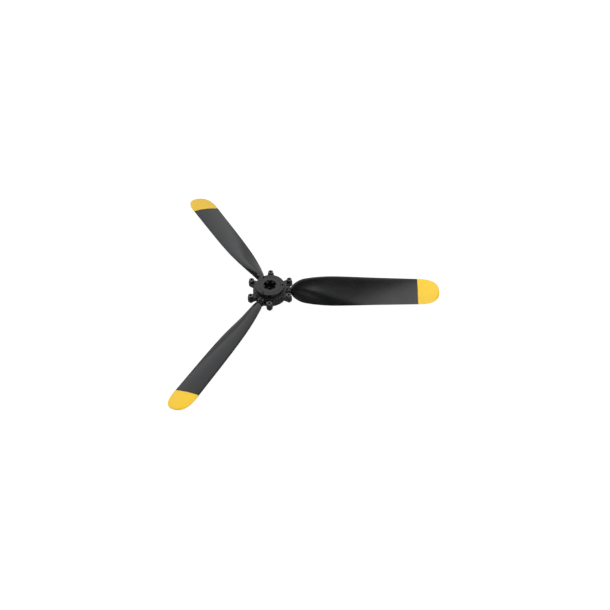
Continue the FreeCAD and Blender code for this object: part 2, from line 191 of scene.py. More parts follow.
def inside_out(grid):
    """Whether a grid's quads enclose a negative volume, which means that they face inwards."""
    beside = np.roll(grid, -1, axis=1)
    flow = np.cross(grid[:-1], beside[:-1]) + np.cross(beside[:-1], beside[1:])
    flow += np.cross(beside[1:], grid[1:]) + np.cross(grid[1:], grid[:-1])
    middle = (grid[:-1] + grid[1:] + beside[:-1] + beside[1:]) / 4
    return float((flow * (middle - grid.mean((0, 1)))).sum()) < 0


def tube(grid, ends=None, wrapped=False):
    """The points and faces of a closed surface over a grid of rows along and columns round.

    It ends in a point at each end, or its last row is its first one again. Its faces point outwards.
    """
    if inside_out(grid):
        grid = grid[:, ::-1]
    rows, columns = grid.shape[:2]
    kept = grid[:-1] if wrapped else grid
    points = kept.reshape(-1, 3)
    if ends is not None:
        points = np.vstack((points, ends))
    return points, tube_faces(rows, columns, ends is not None, wrapped)


def carry(piece, **values):
    """Numbers that a piece carries on its points for its material to read."""
    for name, numbers in values.items():
        layer = piece.data.attributes.new(name, "FLOAT", "POINT")
        layer.data.foreach_set("value", numbers.astype(np.float32))


def smooth_between(at, places, values):
    """Smooth curve through stations: cubic spans whose slopes are the mean of those on each side."""
    slopes = np.gradient(values, places)
    span = np.clip(np.searchsorted(places, at) - 1, 0, len(places) - 2)
    width = places[span + 1] - places[span]
    share = (at - places[span]) / width
    start = (1 + 2 * share) * (1 - share) ** 2 * values[span]
    finish = share**2 * (3 - 2 * share) * values[span + 1]
    lean_in = share * (1 - share) ** 2 * width * slopes[span]
    lean_out = share**2 * (share - 1) * width * slopes[span + 1]
    return start + finish + lean_in + lean_out


def spin(points, degrees):
    """Turn points about the hub axis."""
    angle = math.radians(degrees)
    turn = np.array(
        (
            (math.cos(angle), -math.sin(angle), 0.0),
            (math.sin(angle), math.cos(angle), 0.0),
            (0.0, 0.0, 1.0),
        )
    )
    return points @ turn.T


def blade_rows():
    """Radius, chord, blade angle, thickness and tail fineness of every row from shank to tip."""
    root = np.linspace(SHANK_END, TIP_START, 190)
    near_paint = PAINT_START + np.linspace(-1.0, 1.0, 17) * 0.4 * MM
    root = np.sort(np.concatenate((root, near_paint)))
    curl = np.linspace(0.0, 0.4997 * math.pi, 60)[1:]
    tip = TIP_START + (BLADE_TIP - TIP_START) * np.sin(curl) ** (2 / TIP_POWER)
    narrowing = np.concatenate((np.ones(len(root)), np.cos(curl) ** (2 / TIP_POWER)))
    radius = np.concatenate((root, tip))
    places = STATIONS[:, 0] * MM
    chord = smooth_between(radius, places, STATIONS[:, 1] * MM) * narrowing
    angle = np.radians(smooth_between(radius, places, STATIONS[:, 2]))
    thickness = smooth_between(radius, places, STATIONS[:, 3] * MM) * np.sqrt(narrowing)
    share = np.clip((radius - SHANK_END) / (1.25 * (AIRFOIL_FULL - SHANK_END)), 0.0, 1.0)
    share = share * (2 - share)
    return radius, chord, angle, thickness, share


def blade_surface(name, degrees):
    """One blade as a surface of the place along it and the place round its section.

    Round the section, x runs from the leading edge to the trailing edge and back as half of one less
    the cosine. The half thickness is x ^ 0.5 * (1 - x) ^ tail over its own crest, the camber is a
    parabola in x, and the section is set at the blade angle about a pitch axis that is raked back.
    The shank and its collar are the same surface with round sections.
    """
    radius, chord, angle, thickness, share = blade_rows()
    around = np.linspace(0.0, 2 * math.pi, 112, endpoint=False)
    back = (1 - np.cos(around)) / 2
    side = np.sign(np.sin(around))
    tail = (ROUND_TAIL + share * (AIRFOIL_TAIL - ROUND_TAIL))[:, None]
    crest = ROUND_TAIL / (ROUND_TAIL + tail)
    highest = crest**ROUND_TAIL * (1 - crest) ** tail
    paint = np.clip((radius - PAINT_START) / (0.15 * MM) + 0.5, 0.0, 1.0) * PAINT_THICKNESS
    paint = paint * np.clip(chord / (4 * MM), 0.0, 1.0)
    half = thickness[:, None] / 2 * back**ROUND_TAIL * (1 - back) ** tail / highest * side
    line = (share * AIRFOIL_CAMBER * thickness)[:, None] * 4 * back * (1 - back)
    across = chord[:, None] * (0.5 - back)
    height = line + half + paint[:, None] * side
    middle = -RAKE * (radius - SHANK_END)
    cosine, sine = np.cos(angle)[:, None], np.sin(angle)[:, None]
    outer = np.stack(
        (
            np.broadcast_to(radius[:, None], across.shape),
            across * cosine - height * sine,
            across * sine + height * cosine + middle[:, None],
        ),
        -1,
    )
    root_radius = np.array((0.94, 1.0, 1.0, 0.94)) * COLLAR_RADIUS
    root_radius = np.concatenate((root_radius, np.array((1.0, 1.0, 1.0)) * SHANK_RADIUS))
    collar = (COLLAR_START, COLLAR_START + COLLAR_BEVEL, COLLAR_END - COLLAR_BEVEL, COLLAR_END)
    shank = (COLLAR_END, (COLLAR_END + SHANK_END) / 2, SHANK_END - COLLAR_BEVEL)
    root_place = np.array(collar + shank)
    turn = around + STATIONS[0, 2] * math.pi / 180
    inner = np.stack(
        (
            np.broadcast_to(root_place[:, None], (len(root_place), len(around))),
            root_radius[:, None] * np.cos(turn),
            root_radius[:, None] * np.sin(turn),
        ),
        -1,
    )
    grid = np.concatenate((inner, outer))
    if inside_out(grid):
        grid, back = grid[:, ::-1], back[::-1]
    ends = np.array(((COLLAR_START, 0.0, 0.0), (BLADE_TIP, 0.0, middle[-1])))
    lift = np.array((0.0, 0.0, BLADE_PLANE))
    piece = mesh_object(name, tube(spin(grid, degrees) + lift, spin(ends, degrees) + lift))
    station_of = np.concatenate((np.repeat(grid[:, 0, 0], len(around)), ends[:, 0]))
    back_of = np.concatenate((np.tile(back, len(grid)), (0.5, 0.5)))
    which = np.full(len(station_of), float(degrees))
    carry(piece, span=station_of, back=back_of, along=which)
    return piece


# The hub


def quarter(count, start=0.0, finish=90.0):
    """Angles of a rounded edge, in radians."""
    return np.radians(np.linspace(start, finish, count))


def rounded(corner, across, along, count=6):
    """Points of a rounded edge, from along one side of a corner to along the other.

    The corner is (radius, height). Across and along are the signed distances, each (radius, height),
    from the corner to where the curve starts and ends: the curve is a quarter ellipse between them,
    with one more point a little way out on the flat at each end.
    """
    turns = quarter(count)
    shares = list(zip(1 - np.sin(turns), 1 - np.cos(turns)))
    shares.insert(0, (1 + FLAT_MARGIN / math.hypot(*across), 0.0))
    shares.append((0.0, 1 + FLAT_MARGIN / math.hypot(*along)))
    return [
        tuple(corner[axis] + across[axis] * away + along[axis] * nearer for axis in (0, 1))
        for away, nearer in shares
    ]


def round_grid(rows, columns=960, middle=(0.0, 0.0)):
    """Points of a turned shape: each row is a (radius, height), and a radius may change round it."""
    around = np.linspace(0.0, 2 * math.pi, columns, endpoint=False)
    radius = np.array([np.broadcast_to(row[0], columns) for row in rows])
    height = np.array([np.broadcast_to(row[1], columns) for row in rows])
    x = middle[0] + radius * np.cos(around)
    y = middle[1] + radius * np.sin(around)
    return np.stack((x, y, BLADE_PLANE + height), -1)


def ring(rows, columns=960):
    """A ring: its rows go once round its section and close on themselves."""
    grid = round_grid(rows, columns)
    return tube(np.concatenate((grid, grid[:1])), wrapped=True)


def turned(rows, columns=96, middle=(0.0, 0.0)):
    """A turned solid: its rows start and end on its own axis."""
    grid = round_grid(rows[1:-1], columns, middle)
    ends = [(middle[0], middle[1], BLADE_PLANE + rows[place][1]) for place in (0, -1)]
    return tube(grid, np.array(ends))


def nearest(around, centres):
    """The angle from each place round the hub to the nearest of some centres."""
    gaps = (around[:, None] - np.radians(centres) + math.pi) % (2 * math.pi) - math.pi
    return gaps[np.arange(len(around)), np.abs(gaps).argmin(1)]


def soft_greater(first, second, blend_width):
    """The greater of two outlines, with a fillet where they meet."""
    near = np.clip(blend_width - np.abs(first - second), 0.0, None) / blend_width
    return np.maximum(first, second) + near**2 * blend_width / 4


def bump_outline(gap, centre, radius, outside=True):
    """Radius of the far or the near side of a round pillar that stands at a distance from the hub axis."""
    inside = np.clip(radius**2 - (centre * np.sin(gap)) ** 2, 0.0, None)
    reach = np.sqrt(inside)
    found = centre * np.cos(gap) + (reach if outside else -reach)
    return np.where(inside > 0, found, 0.0 if outside else 1.0)


def barrel_outline():
    """Outline of the hub barrel with its half-round upright ribs."""
    ribs = bump_outline(nearest(AROUND, RIB_TURNS), BARREL_RADIUS, RIB_RADIUS)
    return soft_greater(np.full(len(AROUND), BARREL_RADIUS), ribs, 0.3 * MM)


def arm_outline(barrel):
    """The barrel's outline with the six tapering arms and the round screw lugs at their ends."""
    gap = nearest(AROUND, SCREW_TURNS)
    lug = bump_outline(gap, SCREW_CIRCLE, LUG_RADIUS)
    taper = (ARM_HALF_WIDTH - LUG_RADIUS) / (SCREW_CIRCLE - ARM_START)
    side = (ARM_HALF_WIDTH + taper * ARM_START) / (np.sin(np.abs(gap)) + taper * np.cos(gap))
    arm = np.where(side < SCREW_CIRCLE / np.cos(gap), side, 0.0)
    return soft_greater(barrel, np.maximum(arm, lug), 1.4 * MM)


def shelf_rows(outline, barrel, level, way):
    """Rows up a lug's side, over its rounded edge, in along its flat and up the fillet at the barrel.

    Where there is no lug the outline is the barrel's, and the rows run straight up the wall.
    """
    edge, fillet = 0.35 * MM, 0.4 * MM
    room = np.clip((outline - barrel) / (edge + fillet), 0.0, 1.0)
    rows = []
    for turn in quarter(6):
        rows.append((outline - room * edge * (1 - math.cos(turn)), level - way * edge * (1 - math.sin(turn))))
    for turn in quarter(6):
        rise = fillet * (1 - math.cos(turn)) + 0.004 * MM
        rows.append((barrel + room * fillet * (1 - math.sin(turn)), level + way * rise))
    return rows


def rib_end_rows(barrel, level, way):
    """Rows that carry the ribs' rounded ends back to the plain barrel."""
    curve = 0.4 * MM
    rows = []
    for turn in quarter(6):
        edge = BARREL_RADIUS + (barrel - BARREL_RADIUS) * math.cos(turn)
        rows.append((edge, level - way * curve * (1 - math.sin(turn))))
    return rows


def on_blade_axes(profile, columns=96):
    """A turned solid about each of the three blade axes."""
    along, radius = profile.T
    around = np.linspace(0.0, 2 * math.pi, columns, endpoint=False)
    x = np.broadcast_to(along[:, None], (len(along), columns))
    grid = np.stack((x, radius[:, None] * np.cos(around), radius[:, None] * np.sin(around)), -1)
    ends = np.array(((along[0], 0, 0), (along[-1], 0, 0)))
    lift = np.array((0.0, 0.0, BLADE_PLANE))
    return [tube(spin(grid, turn) + lift, spin(ends, turn) + lift) for turn in BLADE_TURNS.values()]


def blade_sockets():
    """The collar pockets and shank sockets, to be taken out of each hub half."""
    return on_blade_axes(SOCKET_PROFILE)


def combine(piece, operation, solids):
    """Join solids to a piece, or cut them out of it."""
    tool = mesh_object("tool", *solids)
    change = piece.modifiers.new(operation.lower(), "BOOLEAN")
    change.operation = operation
    change.object = tool
    change.solver = SOLVER
    piece.modifiers.new("weld", "WELD").merge_threshold = WELD_DISTANCE
    evaluated = piece.evaluated_get(bpy.context.evaluated_depsgraph_get())
    shaped = bpy.data.meshes.new_from_object(evaluated)
    piece.modifiers.clear()
    piece.data = shaped
    bpy.data.objects.remove(tool)


def half_bosses(way):
    """The three half bosses round the blade sockets, on one side of the blade plane."""
    solids = []
    for points, faces in on_blade_axes(BOSS_PROFILE):
        points = points.copy()
        points[:, 2] = BLADE_PLANE + way * np.clip(way * (points[:, 2] - BLADE_PLANE), 0.0, None)
        solids.append((points, faces))
    return solids


def pillars(radius, low, high, circle_radius, turns):
    """Upright round solids on a circle about the hub axis."""
    solids = []
    for turn in np.radians(turns):
        middle = (circle_radius * math.cos(turn), circle_radius * math.sin(turn))
        solids.append(turned([(0, low), (radius, low), (radius, high), (0, high)], 48, middle))
    return solids


def from_axis(piece, middle=(0.0, 0.0)):
    """Each point's distance from an upright axis, and its height from the blade plane."""
    points = np.empty(len(piece.data.vertices) * 3, np.float32)
    piece.data.vertices.foreach_get("co", points)
    points = points.reshape(-1, 3)
    return np.hypot(points[:, 0] - middle[0], points[:, 1] - middle[1]), points[:, 2] - BLADE_PLANE


def crisp(piece):
    """Smooth shading with sharp edges where faces meet at more than a slight angle."""
    piece.data.shade_smooth()
    piece.data.set_sharp_from_angle(angle=math.radians(32))
    return piece


def hub_front():
    """Front half: the star outline of barrel, ribs, arms and lugs, then step rim, disc and sleeve seat."""
    barrel = barrel_outline()
    outline = arm_outline(barrel)
    rows = [(BUSH_FLANGE_RADIUS, 0.0)]
    rows += rounded((outline, 0.0), (-SPLIT_EDGE, 0.0), (0.0, SPLIT_EDGE), 4)
    rows += shelf_rows(outline, barrel, LUG_TOP, 1)
    rows += rib_end_rows(barrel, RIM_HEIGHT - RIB_MARGIN, 1)
    rows += rounded((BARREL_RADIUS, RIM_HEIGHT), (0.0, -STEP_EDGE), (-STEP_EDGE, 0.0))
    rows += rounded((DISC_RADIUS, RIM_HEIGHT), (0.25 * MM, 0.0), (0.0, 0.25 * MM))
    rows += rounded((DISC_RADIUS, DISC_FACE), (0.0, -MOULDED_EDGE), (-MOULDED_EDGE, 0.0))
    rows += [(SLEEVE_RADIUS + SLEEVE_LINE, DISC_FACE), (SLEEVE_RADIUS, DISC_FACE - SLEEVE_LINE)]
    rows += [(SLEEVE_RADIUS, BUSH_FLANGE), (BUSH_FLANGE_RADIUS, BUSH_FLANGE)]
    piece = mesh_object("hub_front_moulding", ring(rows))
    combine(piece, "UNION", half_bosses(1))
    bottom, turns = DISC_FACE - DOME_HOLE_DEPTH, list(BLADE_TURNS.values())
    holes = pillars(DOME_HOLE_RADIUS, bottom, DISC_FACE + OVERRUN, DOME_CIRCLE, turns)
    screws = pillars(SCREW_HOLE_RADIUS, -OVERRUN, LUG_TOP + OVERRUN, SCREW_CIRCLE, SCREW_TURNS)
    combine(piece, "DIFFERENCE", holes + screws + blade_sockets())
    return crisp(piece)


def hub_rear():
    """Rear half: the same outline turned over, pointed lugs, a stepped back and the drive boss."""
    barrel = barrel_outline()
    outline = arm_outline(barrel)
    rows = [(BUSH_RADIUS, 0.0)]
    rows += rounded((outline, 0.0), (-SPLIT_EDGE, 0.0), (0.0, -SPLIT_EDGE), 4)
    rows += shelf_rows(outline, barrel, -LUG_SIDE, -1)
    rows += rib_end_rows(barrel, -CORE_DEPTH + RIB_MARGIN, -1)
    rows += rounded((BARREL_RADIUS, -CORE_DEPTH), (0.0, MOULDED_EDGE), (-MOULDED_EDGE, 0.0))
    rows += rounded((DRIVE_RADIUS, -CORE_DEPTH), (0.4 * MM, 0.0), (0.0, -0.4 * MM))
    rows += rounded((DRIVE_RADIUS, -BLADE_PLANE), (0.0, MOULDED_EDGE), (-MOULDED_EDGE, 0.0))
    rows += [(BUSH_RADIUS, -BLADE_PLANE)]
    piece = mesh_object("hub_rear_moulding", ring(rows))
    points = []
    for turn in np.radians(SCREW_TURNS):
        middle = (SCREW_CIRCLE * math.cos(turn), SCREW_CIRCLE * math.sin(turn))
        cone = [(0, -OVERRUN), (LUG_RADIUS, -OVERRUN), (LUG_RADIUS, -LUG_SIDE)]
        cone += [(1.0 * MM, -LUG_TIP + 0.3 * MM), (0.75 * MM, -LUG_TIP + 0.05 * MM)]
        cone += [(0.4 * MM, -LUG_TIP), (0, -LUG_TIP)]
        points.append(turned(cone, 96, middle))
    combine(piece, "UNION", points + half_bosses(-1))
    inserts = pillars(INSERT_RADIUS, -INSERT_HOLE_DEPTH, OVERRUN, SCREW_CIRCLE, SCREW_TURNS)
    combine(piece, "DIFFERENCE", inserts + blade_sockets())
    return crisp(piece)


def nut_sleeve():
    """Ring in the front disc: a turned section whose bore carries six round ribs below its mouth."""
    gap = nearest(AROUND, np.arange(0, 360, 60))
    ribs = bump_outline(gap, NUT_RIB_CIRCLE, NUT_RIB_RADIUS, outside=False)
    bore = -soft_greater(np.full(len(AROUND), -WELL_RADIUS), -ribs, 0.5 * MM)
    rib_top = DISC_FACE - RIB_DROP
    outside = SLEEVE_RADIUS - SEAT_ROOM
    rows = [(outside, BUSH_FLANGE), (outside, DISC_FACE - SLEEVE_LINE)]
    rows += [(SLEEVE_RADIUS - SLEEVE_LINE, DISC_FACE)]
    rows += rounded((WELL_RADIUS, DISC_FACE), (MOULDED_EDGE, 0.0), (0.0, -MOULDED_EDGE))
    curve = 0.35 * MM
    for turn in quarter(6, 90, 0):
        edge = WELL_RADIUS + (bore - WELL_RADIUS) * math.cos(turn)
        rows.append((edge, rib_top - curve * (1 - math.sin(turn))))
    rows += [(bore, BUSH_FLANGE)]
    return crisp(mesh_object("nut_sleeve_ring", ring(rows)))


def shaft_bush():
    """Turned bush: barrel, flange and bore with a chamfered mouth."""
    rows = [(SHAFT_RADIUS, -BLADE_PLANE), (BUSH_RADIUS - 0.3 * MM, -BLADE_PLANE)]
    barrel, flange = BUSH_RADIUS - SEAT_ROOM, BUSH_FLANGE_RADIUS - SEAT_ROOM
    rows += [(barrel, -BLADE_PLANE + 0.3 * MM), (barrel, 0.0)]
    rows += [(flange, 0.0), (flange, BUSH_FLANGE)]
    rows += [(SHAFT_RADIUS + BUSH_CHAMFER, BUSH_FLANGE), (SHAFT_RADIUS, BUSH_FLANGE - BUSH_CHAMFER)]
    piece = mesh_object("shaft_bush_turning", ring(rows, 192))
    radius, _ = from_axis(piece)
    carry(piece, lathe=radius)
    return crisp(piece)


def clamp_screw(number, degrees):
    """Cap screw: threaded shank, rounded cylinder head and a hexagon socket with a pointed floor."""
    turn = math.radians(degrees)
    middle = (SCREW_CIRCLE * math.cos(turn), SCREW_CIRCLE * math.sin(turn))
    around = np.linspace(0.0, 2 * math.pi, 96, endpoint=False)
    hexagon = SOCKET_HALF_WIDTH / np.cos((around + math.pi / 6) % (math.pi / 3) - math.pi / 6)
    top = LUG_TOP + HEAD_HEIGHT
    end = LUG_TOP - SCREW_LENGTH
    rows = [(0, end), (1.1 * MM, end)]
    for thread in range(THREADS):
        base = end + 0.2 * MM + thread * THREAD_PITCH
        rows += [(THREAD_ROOT, base), (THREAD_CREST, base + 0.2 * MM)]
        rows += [(THREAD_CREST, base + 0.27 * MM), (THREAD_ROOT, base + 0.47 * MM)]
    rows += [(THREAD_CREST, LUG_TOP - 0.45 * MM), (THREAD_CREST, LUG_TOP)]
    rows += rounded((HEAD_RADIUS, LUG_TOP), (-0.1 * MM, 0.0), (0.0, 0.1 * MM), 3)
    rows += rounded((HEAD_RADIUS, top), (0.0, -0.32 * MM), (-0.32 * MM, 0.0), 7)
    rows += [(hexagon * 1.10, top), (hexagon, top - 0.12 * MM), (hexagon, top - 1.6 * MM)]
    rows += [(hexagon * 0.5, top - 1.8 * MM), (0, top - 1.95 * MM)]
    piece = mesh_object(f"clamp_screw_{number}_turning", turned(rows, 96, middle))
    radius, height = from_axis(piece, middle)
    # Inside the hex socket: the material paints this near black as shade.
    inside = (radius < SOCKET_HALF_WIDTH * 1.16) & (height > LUG_TOP + 0.5 * MM)
    inside &= height < top - 0.05 * MM
    carry(piece, lathe=radius, socket=inside)
    return crisp(piece)


# Materials


def link(tree, value, socket):
    """Link a socket, or set a number or colour on it."""
    if isinstance(value, bpy.types.NodeSocket):
        tree.links.new(value, socket)
    else:
        socket.default_value = value


def add(tree, kind, settings=(), **inputs):
    """A node with its settings, and each of its named inputs linked or set."""
    made = tree.nodes.new(f"ShaderNode{kind}")
    for key, value in dict(settings).items():
        setattr(made, key, value)
    for key, value in inputs.items():
        link(tree, value, made.inputs[key.replace("_", " ")])
    return made


def arithmetic(tree, operation, *values):
    """One Math node's result."""
    made = add(tree, "Math", {"operation": operation})
    for value, socket in zip(values, made.inputs):
        link(tree, value, socket)
    return made.outputs[0]


def ramp(tree, value, low, high, to_low=0.0, to_high=1.0):
    """A value carried smoothly from one range to another and held at both ends."""
    made = add(tree, "MapRange", {"interpolation_type": "SMOOTHSTEP"}, Value=value)
    for key, number in (("From Min", low), ("From Max", high), ("To Min", to_low), ("To Max", to_high)):
        link(tree, number, made.inputs[key])
    return made.outputs["Result"]


def blend(tree, share, first, second):
    """Two colours mixed by a share."""
    made = add(tree, "Mix", {"data_type": "RGBA"})
    for place, value in ((0, share), (6, first), (7, second)):
        link(tree, value, made.inputs[place])
    return made.outputs[2]


def noise(tree, where, scale, detail=3.0, roughness=0.55):
    """Noise of so many lumps to the metre."""
    return add(tree, "TexNoise", Vector=where, Scale=scale, Detail=detail, Roughness=roughness).outputs[0]


def grey(value, warmth=0.0):
    """A colour of one lightness, a little warmer or cooler than grey."""
    return (value * (1 + warmth), value, value * (1 - warmth), 1)


def new_group(name, inputs, outputs):
    """A shader node group, its inner tree's two ends and its sockets, with each input's own value."""
    group = bpy.data.node_groups.new(name, "ShaderNodeTree")
    for title, kind, value in inputs:
        socket = group.interface.new_socket(title, in_out="INPUT", socket_type=f"NodeSocket{kind}")
        if value is not None:
            socket.default_value = value
    for title, kind in outputs:
        group.interface.new_socket(title, in_out="OUTPUT", socket_type=f"NodeSocket{kind}")
    start = group.nodes.new("NodeGroupInput").outputs
    finish = group.nodes.new("NodeGroupOutput").inputs
    return group, start, finish


def edge_wear_and_highlight_group():
    """Where outside edges are worn lighter, which also paints a highlight along them: a normal rounded off
    over the radius turns away from the real one.

    Inside corners, which see little of the sky, are left out. A noise breaks the lightening up, and amount
    says how far it goes. The rounded normal softens the edges themselves over a fifth of the radius.
    """
    inputs = (("Radius", "Float", 0.6 * MM), ("Amount", "Float", 0.5), ("Position", "Vector", None))
    group, start, finish = new_group("edge_wear", inputs, (("Wear", "Float"), ("Rounded", "Vector")))
    wide = add(group, "Bevel", {"samples": 6}, Radius=start["Radius"]).outputs[0]
    narrow = arithmetic(group, "MULTIPLY", start["Radius"], 0.2)
    match = add(group, "VectorMath", {"operation": "DOT_PRODUCT"})
    link(group, wide, match.inputs[0])
    link(group, add(group, "NewGeometry").outputs["Normal"], match.inputs[1])
    edge = ramp(group, match.outputs["Value"], 0.992, 0.93)
    reach = arithmetic(group, "MULTIPLY", start["Radius"], 2.0)
    seen = add(group, "AmbientOcclusion", {"samples": 6}, Distance=reach).outputs["AO"]
    outside = ramp(group, seen, 0.72, 0.92)
    patches = ramp(group, noise(group, start["Position"], 900.0, 5.0, 0.65), 0.36, 0.58)
    # Lightened edges: partly worn, partly a painted highlight.
    rubbed = arithmetic(group, "MULTIPLY", arithmetic(group, "MULTIPLY", edge, outside), patches)
    link(group, arithmetic(group, "MULTIPLY", rubbed, start["Amount"]), finish["Wear"])
    link(group, add(group, "Bevel", {"samples": 4}, Radius=narrow).outputs[0], finish["Rounded"])
    return group


def grain_group():
    """The skin of a moulding: a fine spark grain, and slow clouds left by the flow of the melt."""
    inputs = (("Position", "Vector", None), ("Grain scale", "Float", 2600.0), ("Cloud scale", "Float", 60.0))
    outputs = (("Height", "Float"), ("Cloud", "Float"))
    group, start, finish = new_group("moulded_grain", inputs, outputs)
    fine = noise(group, start["Position"], start["Grain scale"], 4.0)
    pits = add(group, "TexVoronoi", {"feature": "SMOOTH_F1"}, Vector=start["Position"])
    link(group, arithmetic(group, "MULTIPLY", start["Grain scale"], 0.6), pits.inputs["Scale"])
    height = arithmetic(group, "MULTIPLY_ADD", pits.outputs["Distance"], 0.15, fine)
    link(group, height, finish["Height"])
    link(group, noise(group, start["Position"], start["Cloud scale"], 5.0, 0.6), finish["Cloud"])
    return group


# Keeps a noise's own lattice planes, where its octaves line up, away from the middle of the object.
OFF_LATTICE = (0.1371, 0.2913, 0.1737)


def scratch_group():
    """Fine scuffs: thin bright lines where a stretched noise crosses its middle, in scattered patches."""
    inputs = (("Position", "Vector", None), ("Stretch", "Vector", (1.0, 1.0, 1.0)), ("Amount", "Float", 0.5))
    group, start, finish = new_group("scuffs", inputs, (("Scuffs", "Float"),))
    stretched = add(group, "VectorMath", {"operation": "MULTIPLY_ADD"})
    link(group, start["Position"], stretched.inputs[0])
    link(group, start["Stretch"], stretched.inputs[1])
    link(group, OFF_LATTICE, stretched.inputs[2])
    lines = noise(group, stretched.outputs[0], 420.0, 3.0, 0.7)
    away = arithmetic(group, "ABSOLUTE", arithmetic(group, "SUBTRACT", lines, 0.5))
    thin = ramp(group, away, 0.016, 0.0)
    patches = ramp(group, noise(group, start["Position"], 75.0, 2.0), 0.5, 0.72)
    found = arithmetic(group, "MULTIPLY", arithmetic(group, "MULTIPLY", thin, patches), start["Amount"])
    link(group, found, finish["Scuffs"])
    return group


def dust_and_corner_shade_group():
    """Dust and grease that settle in corners: how much of the sky a point can't see, broken by noise. It also
    puts out Open, how much of the sky a point sees, which the materials use to paint shade into corners.
    """
    inputs = (("Position", "Vector", None), ("Reach", "Float", 2.0 * MM), ("Amount", "Float", 0.5))
    group, start, finish = new_group("settled_dust", inputs, (("Dust", "Float"), ("Open", "Float")))
    seen = add(group, "AmbientOcclusion", {"samples": 8}, Distance=start["Reach"]).outputs["AO"]
    hidden = ramp(group, seen, 0.85, 0.35)
    patches = ramp(group, noise(group, start["Position"], 500.0, 4.0), 0.35, 0.65)
    found = arithmetic(group, "MULTIPLY", arithmetic(group, "MULTIPLY", hidden, patches), start["Amount"])
    link(group, found, finish["Dust"])
    link(group, seen, finish["Open"])
    return group


EDGE_WEAR_AND_HIGHLIGHT = edge_wear_and_highlight_group()
MOULDED_GRAIN = grain_group()
SCUFFS = scratch_group()
DUST_AND_CORNER_SHADE = dust_and_corner_shade_group()


def use(tree, group, **inputs):
    """Place a shared effect in a material with its own values, and give its outputs."""
    made = tree.nodes.new("ShaderNodeGroup")
    made.node_tree = group
    for key, value in inputs.items():
        link(tree, value, made.inputs[key.replace("_", " ")])
    return made.outputs


def new_material(name, **shader):
    """A material with one Principled shader and its constant sockets."""
    material = bpy.data.materials.new(name)
    material.use_nodes = True
    tree = material.node_tree
    tree.nodes.clear()
    principled = add(tree, "BsdfPrincipled", **shader)
    output = add(tree, "OutputMaterial")
    tree.links.new(principled.outputs[0], output.inputs[0])
    return material, tree, principled


def finish_surface(tree, principled, colour, roughness, height, depth, normal=None):
    """Link the colour, roughness and bump that vary over a surface."""
    bump = add(tree, "Bump", Height=height, Strength=1.0, Distance=depth)
    if normal is not None:
        link(tree, normal, bump.inputs["Normal"])
    link(tree, colour, principled.inputs["Base Color"])
    link(tree, roughness, principled.inputs["Roughness"])
    link(tree, bump.outputs[0], principled.inputs["Normal"])


def attribute(tree, name):
    """A number that a piece carries on its points."""
    return add(tree, "Attribute", {"attribute_name": name}).outputs["Fac"]


def blade_material():
    """Satin black moulded nylon with a sprayed yellow tip.

    Faint flow streaks run along the blade, the two edges are rubbed grey, and the spray's edge wavers
    a little and leaves a thin dark line where the mask was pulled off.
    """
    material, tree, principled = new_material("blade_nylon_painted_tip", Specular_IOR_Level=0.45)
    where = add(tree, "TexCoord").outputs["Object"]
    span, back, along = attribute(tree, "span"), attribute(tree, "back"), attribute(tree, "along")
    skin = use(tree, MOULDED_GRAIN, Position=where)
    flow = add(tree, "CombineXYZ", X=arithmetic(tree, "MULTIPLY", span, 18.0))
    link(tree, arithmetic(tree, "MULTIPLY", back, 26.0), flow.inputs["Y"])
    link(tree, along, flow.inputs["Z"])
    streaks = noise(tree, flow.outputs[0], 1.0, 6.0, 0.7)
    scuffs = use(tree, SCUFFS, Position=where, Stretch=(0.35, 1.0, 1.0), Amount=0.3)["Scuffs"]
    leading = ramp(tree, back, 0.010, 0.0)
    trailing = ramp(tree, back, 0.988, 1.0)
    chips = ramp(tree, noise(tree, where, 700.0, 4.0, 0.7), 0.42, 0.62)
    rubbed = arithmetic(tree, "MULTIPLY", arithmetic(tree, "MAXIMUM", leading, trailing), chips)
    waver = arithmetic(tree, "MULTIPLY_ADD", noise(tree, where, 420.0, 2.0), 0.5 * MM, span)
    paint = ramp(tree, waver, PAINT_START + 0.18 * MM, PAINT_START + 0.32 * MM)
    from_line = arithmetic(tree, "ABSOLUTE", arithmetic(tree, "SUBTRACT", waver, PAINT_START))
    line = ramp(tree, from_line, 0.5 * MM, 0.1 * MM)
    black = blend(tree, skin["Cloud"], grey(BLADE_BLACK[0], -0.03), grey(BLADE_BLACK[1], -0.05))
    black = blend(tree, ramp(tree, streaks, 0.45, 0.75, 0.0, 0.5), black, grey(0.016, -0.08))
    black = blend(tree, arithmetic(tree, "MULTIPLY", rubbed, 0.6), black, grey(0.075))
    black = blend(tree, scuffs, black, grey(0.045))
    yellow = blend(tree, skin["Cloud"], YELLOW[0], YELLOW[1])
    yellow = blend(tree, arithmetic(tree, "MULTIPLY", rubbed, 0.35), yellow, (0.42, 0.25, 0.03, 1))
    yellow = blend(tree, arithmetic(tree, "MULTIPLY", line, 0.55), yellow, (0.28, 0.16, 0.02, 1))
    colour = blend(tree, paint, black, yellow)
    satin = ramp(tree, skin["Cloud"], 0.3, 0.7, BLADE_ROUGHNESS[0], BLADE_ROUGHNESS[1])
    satin = arithmetic(tree, "MULTIPLY_ADD", streaks, 0.06, satin)
    satin = arithmetic(tree, "MULTIPLY_ADD", scuffs, 0.15, satin)
    roughness = arithmetic(tree, "MULTIPLY_ADD", paint, 0.10, satin)
    height = arithmetic(tree, "MULTIPLY_ADD", streaks, 0.8, skin["Height"])
    finish_surface(tree, principled, colour, roughness, height, 0.009 * MM)
    return material


